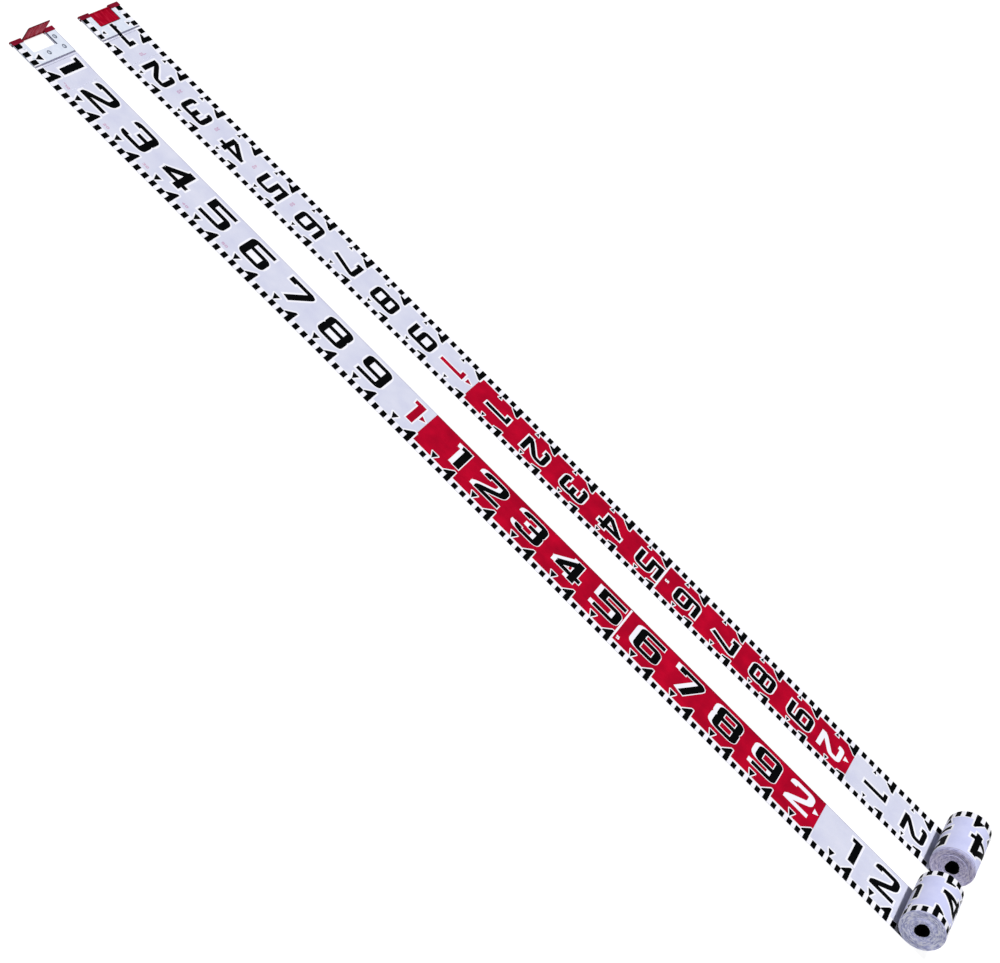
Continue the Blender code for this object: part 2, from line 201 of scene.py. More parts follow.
def printed_cloth(name, stops, roughness, cloud=22.0, bump=0.25, gloss=0.3):
    """Cloth or a skin of ink on it: a cloudy colour over centimetres, fine speckle over the
    threads, and the weave as bump."""
    mat, tree, shader = start_material(name, roughness, Specular_IOR_Level=gloss)
    place, thread = weave(tree)
    clouds = add_node(tree, "ShaderNodeTexNoise", {"Vector": place}, in_Scale=cloud, in_Detail=4.0,
                      in_Roughness=0.55)
    grain = add_node(tree, "ShaderNodeTexNoise", {"Vector": place}, in_Scale=1.0 / (1.6 * MM),
                     in_Detail=2.0)
    mixed = add_node(tree, "ShaderNodeMath", {0: grain.outputs["Fac"], 2: clouds.outputs["Fac"]},
                     operation="MULTIPLY_ADD", in_1=0.35)
    shift = add_node(tree, "ShaderNodeMath", {0: mixed.outputs[0]}, operation="SUBTRACT",
                     in_1=0.175)
    tree.links.new(colour_ramp(tree, shift.outputs[0], stops), shader.inputs["Base Color"])
    raised = add_node(tree, "ShaderNodeBump", {"Height": thread}, in_Strength=bump,
                      in_Distance=0.08 * MM)
    tree.links.new(raised.outputs["Normal"], shader.inputs["Normal"])
    return mat


def painted_metal(name, stops, roughness, streak=(1.0, 1.0, 1.0), peel=0.9 * MM, gloss=0.3,
                  rim=None):
    """Sprayed paint on sheet steel: streaky colour, orange-peel bump.  rim is (band, colour,
    [(axis, low, high)]): within the band from those limits the paint is the given colour."""
    mat, tree, shader = start_material(name, roughness, Specular_IOR_Level=gloss)
    place = add_node(tree, "ShaderNodeTexCoord")
    run = add_node(tree, "ShaderNodeMapping", {"Vector": place.outputs["Object"]}, in_Scale=streak)
    cloud = add_node(tree, "ShaderNodeTexNoise", {"Vector": run.outputs["Vector"]},
                     in_Scale=120.0, in_Detail=3.0)
    colour = colour_ramp(tree, cloud.outputs["Fac"], stops)
    if rim:
        band, code, limits = rim
        axes = add_node(tree, "ShaderNodeSeparateXYZ", {"Vector": place.outputs["Object"]})
        nearest = None
        for axis, low, high in limits:
            for sign, limit in ((1.0, low), (-1.0, high)):
                gap = add_node(tree, "ShaderNodeMath", {0: axes.outputs[axis]}, in_1=sign / band,
                               in_2=-sign * limit / band, operation="MULTIPLY_ADD").outputs[0]
                nearest = gap if nearest is None else add_node(
                    tree, "ShaderNodeMath", {0: nearest, 1: gap}, operation="MINIMUM").outputs[0]
        inner = add_node(tree, "ShaderNodeMapRange", {"Value": nearest}, in_From_Min=0.6,
                         in_From_Max=1.0)
        colour = add_node(tree, "ShaderNodeMix", {0: inner.outputs["Result"], 7: colour},
                          data_type="RGBA", in_6=linear(code)).outputs[2]
    tree.links.new(colour, shader.inputs["Base Color"])
    skin = add_node(tree, "ShaderNodeTexNoise", {"Vector": place.outputs["Object"]},
                    in_Scale=1.0 / peel, in_Detail=1.0)
    raised = add_node(tree, "ShaderNodeBump", {"Height": skin.outputs["Fac"]}, in_Strength=0.2,
                      in_Distance=0.05 * MM)
    tree.links.new(raised.outputs["Normal"], shader.inputs["Normal"])
    return mat


# PVC-coated polyester cloth, printed a pale lavender: satin, faint clouds of colour and a weave
# that just shows in the light.
CLOTH = printed_cloth("coated_cloth_lavender",
                      [(0.3, "D1D3E8"), (0.5, "D8DAEB"), (0.7, "DEDFEE")], 0.5)
# A bluer copy of the same cloth, on every face of the wound roll: painted light, for how the
# light falls on the roll's curved sides.
CLOTH_ROLL_PAINTED_LIGHT = printed_cloth("coated_cloth_roll_painted_light",
                           [(0.3, "CBCEF4"), (0.5, "D3D6F8"), (0.7, "DBDDFC")], 0.5)
# Screen-printed vinyl inks, each a thin skin: the weave shows through and the colour is never
# quite even.
WHITE_INK = printed_cloth("screen_ink_white", [(0.3, "F3F2FA"), (0.7, "FBFBFF")], 0.45)
BLACK_INK = printed_cloth("screen_ink_black", [(0.3, "010202"), (0.7, "07080A")], 0.6,
                          gloss=0.03)
RED_INK = printed_cloth("screen_ink_red", [(0.3, "9E0023"), (0.5, "B00026"), (0.7, "C4022B")],
                        0.5, gloss=0.06)
MAUVE_INK = printed_cloth("screen_ink_mauve", [(0.3, "C3A6C4"), (0.7, "D6B8CC")], 0.5)
# The grey and the dark red colour only a strip along the far edge, darker than the field there.
FAR_EDGE_GREY = printed_cloth("far_edge_grey", [(0.3, "A9A7BE"), (0.7, "C0BED4")], 0.5)
FAR_EDGE_DARK_RED = printed_cloth("far_edge_dark_red", [(0.3, "780A20"), (0.7, "8C0E26")], 0.45)
# Painted shade in dark steel grey: round the rivets' dimples and in the gap beside the flap.
PAINTED_SHADE_INK = printed_cloth("painted_shade_steel_grey", [(0.3, "3E4456"), (0.7, "596076")], 0.6)


def cut_edges(name, stops):
    """Wound cloth seen edge on: a mottled colour that follows each few turns, partly painted shade
    and light of turns that stand apart or proud, from a noise stretched along the cloth and
    squeezed across the turns (radius from the roll's axis)."""
    mat, tree, shader = start_material(name, 0.85, Specular_IOR_Level=0.1)
    place = add_node(tree, "ShaderNodeAttribute", attribute_name="wind")
    rings = add_node(tree, "ShaderNodeTexNoise", {"Vector": place.outputs["Vector"]}, in_Scale=1.0,
                     in_Detail=2.0, in_Roughness=0.55)
    tree.links.new(colour_ramp(tree, rings.outputs["Fac"], stops), shader.inputs["Base Color"])
    raised = add_node(tree, "ShaderNodeBump", {"Height": rings.outputs["Fac"]}, in_Strength=0.6,
                      in_Distance=0.5 * MM)
    tree.links.new(raised.outputs["Normal"], shader.inputs["Normal"])
    return mat


# Cut cloth edge: heat-slit yarn ends, dull, bluish lavender; its darker and paler arcs are
# painted shade and light, for turns wound a little apart or proud.
EDGE = cut_edges("cut_cloth_edge", [(0.34, "9498C2"), (0.45, "C4C6E6"), (0.55, "E6E7FA"),
                                    (0.66, "FAFAFF")])
EDGE_WARM = cut_edges("cut_cloth_edge_warm", [(0.34, "A49CBE"), (0.45, "D0C8E2"),
                                              (0.55, "ECE4F6"), (0.66, "FAF4FD")])
# Woven binding tape over the plates' rear edge, uncoated and dull; its mid grey is painted shade
# for the shadow along the plates' rear edge.
BINDING_PAINTED_SHADE = printed_cloth("binding_tape_painted_shade", [(0.3, "77768F"), (0.7, "918FA8")], 0.7)
# White epoxy paint on pressed steel plate: cool white, smooth, a soft gloss.
PLATE_PAINT = painted_metal("epoxy_paint_white", [(0.3, "DAE2F0"), (0.7, "E7EDF8")], 0.35)
# Maroon paint on the folded end bar: deep wine red, satin.
BAR_PAINT = painted_metal("enamel_maroon", [(0.3, "6E041F"), (0.5, "820626"), (0.7, "980A32")],
                          0.4, streak=(1.0, 0.25, 1.0), gloss=0.2)


def flap_paint(name, stops, box):
    """Signal-red enamel on a flap: drawn out in streaks, and darker in a narrow band along the
    border of its broad faces, painted shade for the gap round the flap."""
    spans = [(axis, box[0][axis], box[1][axis]) for axis in range(3)]
    wide = sorted(spans, key=lambda span: span[1] - span[2])[:2]
    # The rim colour 5C0A18 is painted shade along the border of the flap's broad faces.
    return painted_metal(name, stops, 0.7, streak=(0.4, 1.6, 0.4), gloss=0.04,
                         rim=(1.5 * MM, "5C0A18", wide))


# Two copies of one signal-red enamel: the standing flap's is lighter and pinker, painted light
# for a face the lamp overhead hardly reaches; the flat one's is a fuller red.
FLAP_PAINTS = {rod: flap_paint(name, stops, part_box(f"{rod}_flap")) for rod, name, stops in (
    ("rod_a", "enamel_signal_red_painted_light", [(0.3, "B4182F"), (0.5, "C63A4E"), (0.75, "DA7884")]),
    ("rod_b", "enamel_signal_red", [(0.3, "92001C"), (0.5, "A80022"), (0.75, "C22440")]))}
# Black ink printed across a rivet's head.
RIVET_BLACK = painted_metal("ink_black_on_steel", [(0.3, "020304"), (0.7, "0B0C0F")], 0.6,
                            gloss=0.1)


def zinc_steel():
    """Zinc-plated steel, weathered dull: grey with a blue cast, mottled by its crystals."""
    mat, tree, shader = start_material("zinc_plated_steel", 0.55, metallic=1.0)
    place = add_node(tree, "ShaderNodeTexCoord")
    cloud = add_node(tree, "ShaderNodeTexNoise", {"Vector": place.outputs["Object"]},
                     in_Scale=420.0, in_Detail=2.0)
    tree.links.new(colour_ramp(tree, cloud.outputs["Fac"], [(0.3, "B6C0D2"), (0.7, "E6EDF7")]),
                   shader.inputs["Base Color"])
    return mat


STEEL = zinc_steel()
# Polyester sewing thread, pale grey-lavender, dull.
THREAD = printed_cloth("polyester_thread", [(0.3, "9D9BB4"), (0.7, "B5B3CA")], 0.7)

# ================================================================ flat shapes of the print
# A shape is a list of convex or simple outlines in (s, v): s runs from the rod's zero end, v
# from the edge that carries the scale.  Outlines may overlap; their union is printed.


def box_outline(s0, s1, v0, v1):
    """Rectangle."""
    return np.array([(s0, v0), (s1, v0), (s1, v1), (s0, v1)])


def disc(centre, radius, steps=12):
    """Regular polygon round a point."""
    a = np.arange(steps) * 2.0 * np.pi / steps
    return centre + radius * np.column_stack([np.cos(a), np.sin(a)])


def grown(outline, by):
    """The outline and a band of the given half width along its border: the outline grown by
    that much, with round corners."""
    parts = [outline]
    for a, b in zip(outline, np.roll(outline, -1, axis=0)):
        length = np.linalg.norm(b - a)
        if length < 0.01 * MM:
            continue
        step = (b - a) / length
        side = by * np.array([-step[1], step[0]])
        parts.append(np.array([a - side, b - side, b + side, a + side]))
        parts.append(disc(a, by))
    return parts


def smooth_path(points, closed, radius, steps=6):
    """Polyline with each corner turned into a quadratic curve that starts and ends the given
    distance from it, or half a side where the side is short."""
    out = []
    count = len(points)
    for i in range(count):
        here = points[i]
        if not closed and i in (0, count - 1):
            out.append(here)
            continue
        before, after = points[i - 1], points[(i + 1) % count]
        to_a, to_b = before - here, after - here
        la, lb = np.linalg.norm(to_a), np.linalg.norm(to_b)
        pa = here + to_a / la * min(radius, la / 2)
        pb = here + to_b / lb * min(radius, lb / 2)
        t = np.linspace(0.0, 1.0, steps)[:, None]
        out.extend((1 - t) ** 2 * pa + 2 * t * (1 - t) * here + t ** 2 * pb)
    return np.array(out)


# Strokes of each numeral: centre lines in a unit box, drawn with an oval pen.  "o" is a closed
# loop, "-" an open stroke.  "7t" is the steeper seven of the turned face.
STROKES = {
    "0": [("o", [(0, 0), (1, 0), (1, 1), (0, 1)])],
    "1": [("-", [(1, -0.09), (1, 1.09)]), ("-", [(1, 1), (-0.9, 0.98)])],
    "2": [("-", [(0, 0.80), (0, 1), (1, 1), (1, 0.60), (0.02, 0.10), (0, -0.02)]),
          ("-", [(-0.16, 0), (1.16, 0)])],
    "3": [("-", [(0, 0.82), (0, 1), (1, 1), (1, 0.52), (0.35, 0.52)]),
          ("-", [(0.35, 0.52), (1, 0.52), (1, 0), (0, 0), (0, 0.18)])],
    "4": [("-", [(0.78, -0.09), (0.78, 1.09)]), ("-", [(0.82, 1.0), (-0.06, 0.30)]),
          ("-", [(-0.17, 0.22), (1.17, 0.22)])],
    "5": [("-", [(-0.17, 1), (1.12, 1)]), ("-", [(0, 1.09), (0, 0.50)]),
          ("-", [(-0.17, 0.58), (1, 0.58), (1, 0), (-0.16, 0)])],
    "6": [("-", [(1.12, 1), (0, 1), (0, 0), (1, 0), (1, 0.57), (0, 0.57)])],
    "7": [("-", [(0, 0.80), (0, 1.09)]), ("-", [(-0.16, 1), (1.0, 1)]),
          ("-", [(0.5, 1), (1, 1), (1, 0.88), (0.36, -0.09)])],
    "7t": [("-", [(0, 0.80), (0, 1.09)]), ("-", [(-0.16, 1), (1.0, 1)]),
           ("-", [(0.5, 1), (1, 1), (1, 0.88), (0.56, -0.09)])],
    "8": [("o", [(0, 0.53), (1, 0.53), (1, 1), (0, 1)]),
          ("o", [(0, 0), (1, 0), (1, 0.53), (0, 0.53)])],
    "9": [("-", [(-0.12, 0), (1, 0), (1, 1), (0, 1), (0, 0.43), (1, 0.43)])],
}
# Counters, the closed-in fields of a numeral, as boxes between stroke centres.
COUNTERS = {"0": [(0, 1, 0, 1)], "4": [(0.2, 0.76, 0.24, 0.7)], "6": [(0, 1, 0, 0.57)],
            "8": [(0, 1, 0, 0.53), (0, 1, 0.53, 1)], "9": [(0, 1, 0.43, 1)]}


def numeral(char, size, pen, place, by=0.0, corner=1.15):
    """One numeral as quads along its strokes.  size is its width and height, pen the half widths
    of its upright and its level strokes, by how much it is grown all round, corner the radius
    of its bends in half widths; place turns its own x and y into (s, v)."""
    half = np.array(pen)
    inner = np.array(size) - 2.0 * half
    wide = half + by
    parts = []
    for kind, points in STROKES[char]:
        line = np.array(points, dtype=float) * inner + half
        closed = kind == "o"
        if not closed and by:
            for end, nxt in ((0, 1), (-1, -2)):
                along = line[end] - line[nxt]
                line[end] = line[end] + along / np.linalg.norm(along) * by
        line = smooth_path(line / wide, closed, corner)
        if closed:
            ahead = np.roll(line, -1, axis=0) - line
            behind = line - np.roll(line, 1, axis=0)
        else:
            ahead = np.vstack([line[1:] - line[:-1], line[-1:] - line[-2:-1]])
            behind = np.vstack([line[1:2] - line[:1], line[1:] - line[:-1]])
        keep = np.linalg.norm(ahead, axis=1) > 1e-6
        line, ahead, behind = line[keep], ahead[keep], behind[keep]
        na = ahead / np.linalg.norm(ahead, axis=1)[:, None]
        nb = behind / np.maximum(np.linalg.norm(behind, axis=1), 1e-9)[:, None]
        mean = na + nb
        mean /= np.linalg.norm(mean, axis=1)[:, None]
        mitre = 1.0 / np.clip(np.sum(mean * na, axis=1), 0.6, 1.0)
        side = np.column_stack([-mean[:, 1], mean[:, 0]]) * mitre[:, None]
        left, right = (line + side) * wide, (line - side) * wide
        count = len(line)
        for i in range(count if closed else count - 1):
            j = (i + 1) % count
            parts.append(place(np.array([left[i], left[j], right[j], right[i]])))
    return parts


def counters(char, size, pen, place, by):
    """The open fields inside a numeral, less a rim of the given width (negative: grown)."""
    half = np.array(pen)
    inner = np.array(size) - 2.0 * half
    parts = []
    for x0, x1, y0, y1 in COUNTERS.get(char, []):
        lo = np.array([x0, y0]) * inner + 2 * half + by
        hi = np.array([x1, y1]) * inner - by
        if (hi > lo).all():
            parts.append(place(box_outline(lo[0], hi[0], lo[1], hi[1])))
    return parts


# ================================================================ the two printed faces
# Numerals of the upright face; a one is narrow, and the first metre's a little wider.
UPRIGHT = dict(size=(0.060, 0.061), pen=(7.7 * MM, 5.1 * MM))
UPRIGHT_ONE = dict(UPRIGHT, size=(0.0235, 0.061))
METRE_ONE = dict(UPRIGHT, size=(0.024, 0.061))
UPRIGHT_FOOT = 0.047          # their feet, from the scale's edge
METRE_FOOT = 0.0475
UPRIGHT_BACK = 3 * MM         # their right sides, short of the mark
ONE_AHEAD = 2 * MM            # and the one's, that much nearer
CAST_STEPS = (3.0, 6.0, 9.0)  # millimetres from a numeral to the copies of its white side
# Numerals of the turned face, which lie on their side.
TURNED = dict(size=(0.044, 0.060), pen=(5.0 * MM, 5.6 * MM))
TURNED_ONE = dict(size=(0.019, 0.0575), pen=(5.0 * MM, 4.5 * MM))
TURNED_BACK = 0.061           # their feet, short of the mark
TURNED_TOP = 78.5 * MM        # their left sides, from the scale's edge
ONE_BACK = 0.062              # the same for the one, and for the first metre's
METRE_ONE_BACK = 0.0815
ONE_TOP = 0.0695
METRE_BACK = 20 * MM          # metre numerals of both faces stand that much further back
HALF = dict(size=(7.5 * MM, 9.0 * MM), pen=(1.3 * MM, 1.2 * MM))     # small five at the half metre
SMALL = dict(size=(6.5 * MM, 7.0 * MM), pen=(1.15 * MM, 1.05 * MM))  # faint centimetre counts
SMALL_STEP = 7.5              # millimetres from one digit of a count to the next
COUNTED = range(1, 6)         # decimetres that start with a centimetre count
HALO = 4.2 * MM               # white rim round black numerals on the lavender field
CAST_HALO = 2.0 * MM          # on the upright face's red field
RED_HALO = 3.4 * MM           # and on the turned face's
METRE_HALO = 3 * MM           # round red metre numerals


def decimetres(first, last):
    """Number, start and end of each decimetre between two distances, whether its field is red,
    and the metre and the digit of the mark at its end."""
    for i in range(math.floor(first / DM), math.ceil(last / DM) + 1):
        in_red = math.floor(i * DM + DM / 2) % 2 == 1
        yield (i, i * DM, (i + 1) * DM, in_red, *divmod(i + 1, 10))


def upright_at(s, v):
    """Places a numeral upright, its lower left corner at (s, v)."""
    return lambda p: p + np.array([s, v])


def turned_at(s, v):
    """Places a numeral lying on its side, its foot at s and its left side at v."""
    return lambda p: np.column_stack([s + p[:, 1], v - p[:, 0]])


def scale_marks(k0, first, last, deep):
    """Centimetre squares of one decimetre that starts at k0: every second centimetre from the
    first is black, deep is how far they reach in."""
    marks = []
    for i in range(1, 10, 2):
        a, b = k0 + i * CM, k0 + (i + 1) * CM
        if b > first and a < last:
            marks.append(box_outline(max(a - SPREAD, first), min(b + SPREAD, last), 0.0, deep))
    return marks


def mark_outline(k, tall, deep):
    """Decimetre mark: an upright bar at k whose head slopes down and back to a point; its foot
    stands in the last centimetre square, which is that deep."""
    foot, (low, high) = deep - 1 * MM, MARK_TIP
    return np.array([(k - MARK_WIDTH, foot), (k, foot), (k, tall), (k - MARK_TOP, tall),
                     (k - MARK_REACH, high), (k - MARK_REACH, low), (k - MARK_WIDTH, low)])


def five_outline(k, base, tip, half):
    """Small triangle that points at the fifth centimetre."""
    return np.array([(k, tip), (k + half, base), (k - half, base)])


def arrow_outline(k, back, near, v, half):
    """Arrow head that points at the mark at k, from back to near it, at v."""
    return np.array([(k - back, v - half), (k - near, v), (k - back, v + half)])


def mirrored(shape):
    """The same shape measured from the other edge."""
    return [np.column_stack([p[:, 0], FULL_WIDTH - p[:, 1]])[::-1] for p in shape]


def metre_mark(in_red, place, style, arrow):
    """White and red shapes of a metre's numeral and its arrow: white on the red field, or red
    with a white rim on the lavender one."""
    shapes = numeral(place=place, **style) + [arrow]
    if in_red:
        return shapes, []
    return numeral(place=place, by=METRE_HALO, **style) + grown(arrow, METRE_HALO), shapes


def layered(field, white, holes, mauve, black, red, edge_grey=(), edge_dark=()):
    """Layers of a print in the order they are printed: (ink, lift, shapes, holes)."""
    return [("red", LIFT_FIELD, field, []), ("grey", LIFT_FIELD, edge_grey, []),
            ("dark_red", LIFT_WHITE, edge_dark, []), ("white", LIFT_WHITE, white, holes),
            ("mauve", LIFT_WHITE, mauve, []), ("black", LIFT_TOP, black, []),
            ("red", LIFT_TOP, red, [])]


def upright_face(first, last):
    """Print of the face with one scale and upright numerals, between two distances."""
    field, white, black, red, mauve, holes, edge_dark, edge_grey = ([] for _ in range(8))
    for i, k0, k, in_red, metre, digit in decimetres(first, last):
        deep = 14 * MM if in_red else 16.5 * MM
        rim = RIM_RED if in_red else RIM_PALE
        tip = five_outline(k0 + 5 * CM, 34 * MM, 17 * MM, 7.5 * MM)
        mark = mark_outline(k, 37 * MM, deep)
        black += scale_marks(k0, first, last, deep) + [tip, mark]
        white += grown(tip, rim) + grown(mark, rim)
        if in_red:
            white.append(box_outline(k0, k, 0.0, BAND_RED))
            field.append(box_outline(k0, k, BAND_RED, FULL_WIDTH))
            edge_dark.append(box_outline(k0, k, EDGE_DARK, FULL_WIDTH))
        else:
            white.append(box_outline(k0, k, 0.0, BAND_PALE))
            edge_grey.append(box_outline(k0, k, EDGE_GREY, FULL_WIDTH))
        if digit:
            style, near = (UPRIGHT_ONE, k + ONE_AHEAD) if digit == 1 else (UPRIGHT, k)
            style = dict(style, char=str(digit))
            place = upright_at(near - UPRIGHT_BACK - style["size"][0], UPRIGHT_FOOT)
            black += numeral(place=place, **style)
            if in_red:
                white += numeral(place=place, by=CAST_HALO, **style)
                for shift in CAST_STEPS:
                    moved = (lambda p, q=place, d=shift: q(p) - np.array([d * MM, 0.0]))
                    white += numeral(place=moved, by=1.0 * MM, **style)
                holes += counters(place=place, by=CAST_HALO, **style)
            else:
                white += numeral(place=place, by=HALO, **style)
                white += counters(place=place, by=-1 * MM, **style)
        else:
            style = dict(METRE_ONE if metre == 1 else UPRIGHT, char=str(metre))
            place = upright_at(k - METRE_BACK - style["size"][0], METRE_FOOT)
            arrow = arrow_outline(k, 16 * MM, 3.5 * MM, 77.5 * MM, 7.5 * MM)
            parts = metre_mark(in_red, place, style, arrow + (1 * MM * in_red, 0))
            white += parts[0]
            red += parts[1]
        if in_red and digit == 5:
            white.append(box_outline(k, k + HALF_LINE, 20 * MM, FULL_WIDTH))
            white += numeral("5", place=upright_at(k + 8 * MM, 27 * MM), **HALF)
        if i in COUNTED:
            for n, c in enumerate(str(i * 10)):
                place = upright_at(k0 + (13 + SMALL_STEP * n) * MM, 26 * MM)
                mauve += numeral(c, place=place, **SMALL)
    return layered(field, white, holes, mauve, black, red, edge_grey, edge_dark)


def turned_face(first, last):
    """Print of the face with a scale along both edges and numerals lying on their side."""
    field, white, black, red, mauve, holes = ([] for _ in range(6))
    for i, k0, k, in_red, metre, digit in decimetres(first, last):
        rim = RIM_RED if in_red else RIM_PALE
        tip = five_outline(k0 + 5 * CM, 25 * MM, 15 * MM, 4.0 * MM)
        for turn, tall, deep, band in (((lambda shape: shape), 24 * MM, 12.5 * MM, BANDS_TURNED[0]),
                                       (mirrored, 31 * MM, 15 * MM, BANDS_TURNED[1])):
            mark = mark_outline(k, tall, deep)
            black += turn(scale_marks(k0, first, last, deep) + [tip, mark])
            white += turn(grown(tip, rim) + grown(mark, rim))
            white += turn([box_outline(k0, k, 0.0, band)])
        if in_red:
            field.append(box_outline(k0, k, BANDS_TURNED[0], FULL_WIDTH - BANDS_TURNED[1]))
        if digit:
            style = dict(TURNED_ONE if digit == 1 else TURNED,
                         char="7t" if digit == 7 else str(digit))
            place = turned_at(*((k - ONE_BACK, ONE_TOP) if digit == 1
                                else (k - TURNED_BACK, TURNED_TOP)))
            black += numeral(place=place, **style)
            white += numeral(place=place, by=RED_HALO if in_red else HALO, **style)
            if in_red:
                holes += counters(place=place, by=RED_HALO, **style)
            else:
                white += counters(place=place, by=-1 * MM, **style)
        else:
            style = dict(TURNED_ONE if metre == 1 else TURNED, char=str(metre))
            place = turned_at(*((k - METRE_ONE_BACK, ONE_TOP) if metre == 1
                                else (k - METRE_BACK - TURNED_BACK, TURNED_TOP)))
            arrow = arrow_outline(k, 17 * MM, 5 * MM, 60 * MM, 7 * MM)
            parts = metre_mark(in_red, place, style, arrow)
            white += parts[0]
            red += parts[1]
        if in_red and digit == 5:
            white.append(box_outline(k, k + HALF_LINE, 18 * MM, FULL_WIDTH - 18 * MM))
            white += numeral("5", place=turned_at(k + 10 * MM, 64 * MM), **HALF)
        if i in COUNTED:
            for n, c in enumerate(str(i * 10)):
                place = turned_at(k0 + 14 * MM, (71 - SMALL_STEP * n) * MM)
                mauve += numeral(c, place=place, **SMALL)
    return layered(field, white, holes, mauve, black, red)


# ================================================================ from flat shapes to bodies


def triangulate(shapes, holes, lines, clip):
    """Triangles of the union of the shapes less the holes, cut along every line of constant s
    and kept between the two distances and the two edges of clip: a constrained Delaunay mesh
    of all the outlines, and each triangle tested by its middle (crossings of a ray along v)."""
    s0, s1, v0, v1 = clip
    rings = [(p, True) for p in shapes] + [(p, False) for p in holes]
    cuts = [np.array([(s, v0 - CM), (s, v1 + CM)]) for s in (*lines, s0, s1)]
    cuts += [np.array([(s0 - 2 * CM, v), (s1 + 2 * CM, v)]) for v in (v0, v1)]
    points, edges, start = [], [], 0
    for outline, loop in [(p, True) for p, _ in rings] + [(c, False) for c in cuts]:
        count = len(outline)
        points.append(outline)
        edges += [(start + i, start + (i + 1) % count) for i in range(count if loop else 1)]
        start += count
    points = [Vector(p) for p in np.vstack(points).tolist()]
    verts, _, faces, _, _, _ = delaunay_2d_cdt(points, edges, [], 0, 1e-7, False)
    verts = np.array([tuple(p) for p in verts])
    faces = np.array(list(faces), dtype=np.int64)
    middle = verts[faces].mean(axis=1)
    order = np.argsort(middle[:, 0])
    faces, middle = faces[order], middle[order]
    solid, gone = np.zeros(len(faces), dtype=bool), np.zeros(len(faces), dtype=bool)
    for outline, fill in rings:
        a, b = np.searchsorted(middle[:, 0], [outline[:, 0].min(), outline[:, 0].max()])
        s, v = middle[a:b, 0][:, None], middle[a:b, 1][:, None]
        p, q = outline[None], np.roll(outline, -1, axis=0)[None]
        crosses = (p[..., 0] > s) != (q[..., 0] > s)
        step = np.where(crosses, q[..., 0] - p[..., 0], 1.0)
        height = p[..., 1] + (s - p[..., 0]) * (q[..., 1] - p[..., 1]) / step
        inside = np.count_nonzero(crosses & (height > v), axis=1) % 2 == 1
        (solid if fill else gone)[a:b] |= inside
    keep = (solid & ~gone & (middle[:, 0] > s0) & (middle[:, 0] < s1) & (middle[:, 1] > v0)
            & (middle[:, 1] < v1))
    if not keep.any():
        return np.zeros((0, 2)), np.zeros((0, 3), dtype=np.int64)
    used, faces = np.unique(faces[keep], return_inverse=True)
    return verts[used], faces.reshape(-1, 3)


def slab(flat, tris, over, top, bottom):
    """Closed thin body over flat triangles: the same triangles at two heights and a wall round
    their border.  over turns arrays (s, v, height) into points.  Returns points, triangles, UV
    and the kind of each triangle, 1 on the wall."""
    count = len(flat)
    verts = np.vstack([over(flat[:, 0], flat[:, 1], top), over(flat[:, 0], flat[:, 1], bottom)])
    pairs = np.vstack([tris[:, [0, 1]], tris[:, [1, 2]], tris[:, [2, 0]]])
    code = pairs[:, 0] * count + pairs[:, 1]
    back = pairs[:, 1] * count + pairs[:, 0]
    border = pairs[~np.isin(code, back)]
    a, b = border[:, 0], border[:, 1]
    wall = np.vstack([np.column_stack([a, a + count, b + count]),
                      np.column_stack([a, b + count, b])])
    faces = np.vstack([tris, tris[:, ::-1] + count, wall])
    kind = np.repeat([0, 1], [2 * len(tris), len(wall)])
    return verts, faces, np.vstack([flat, flat]), kind


def joined(bodies):
    """Points, triangles and UV of several slabs as one."""
    verts, faces, uvs, base = [], [], [], 0
    for v, f, u, _ in bodies:
        verts.append(v)
        faces.append(f + base)
        uvs.append(u)
        base += len(v)
    return np.vstack(verts), np.vstack(faces), np.vstack(uvs)


INKS = {"white": WHITE_INK, "black": BLACK_INK, "red": RED_INK, "mauve": MAUVE_INK,
        "grey": FAR_EDGE_GREY, "dark_red": FAR_EDGE_DARK_RED, "painted_shade": PAINTED_SHADE_INK}


def between(outlines, clip):
    """The outlines that reach between the two distances of clip."""
    return [p for p in outlines if p[:, 0].max() > clip[0] and p[:, 0].min() < clip[1]]


def print_pieces(prefix, body, layers, zones):
    """One piece per ink over the given zones, each (lines, clip, over, gaps, inks): gaps are cut
    out of every ink there, and only the named inks are printed, or all of them."""
    bodies = {}
    for ink, lift, shapes, holes in layers:
        for lines, clip, over, gaps, only in zones:
            near = between(shapes, clip)
            if not near or (only and ink not in only):
                continue
            flat, tris = triangulate(near, between(holes + gaps, clip), lines, clip)
            if len(tris):
                bodies.setdefault(ink, []).append(slab(flat, tris, over, lift, -INK_SINK))
    made = []
    for ink, parts in bodies.items():
        verts, faces, uv = joined(parts)
        made.append(new_piece(f"{prefix}_{ink}_ink", verts, faces, [INKS[ink]], body,
                              uv))
    return made


# ================================================================ each rod


def smoothstep(t):
    """3t^2 - 2t^3 between 0 and 1."""
    t = np.clip(t, 0.0, 1.0)
    return t * t * (3.0 - 2.0 * t)


def closed_tubes(rings):
    """Triangles of closed tubes from rings[tube, ring, point]: quads between neighbouring rings,
    split in two, and a fan over each end."""
    tubes, along, round_ = rings.shape[:3]
    index = np.arange(tubes * along * round_).reshape(tubes, along, round_)
    a, d = index[:, :-1], index[:, 1:]
    b, c = np.roll(a, -1, axis=2), np.roll(d, -1, axis=2)
    sides = np.vstack([np.stack([a, b, c], -1).reshape(-1, 3),
                       np.stack([a, c, d], -1).reshape(-1, 3)])
    first, last = index[:, 0], index[:, -1]
    fan = np.arange(1, round_ - 1)
    caps = [np.stack([e[:, :1] + 0 * fan, e[:, x], e[:, y]], -1).reshape(-1, 3)
            for e, x, y in ((first, fan + 1, fan), (last, fan, fan + 1))]
    return np.vstack([sides] + caps)


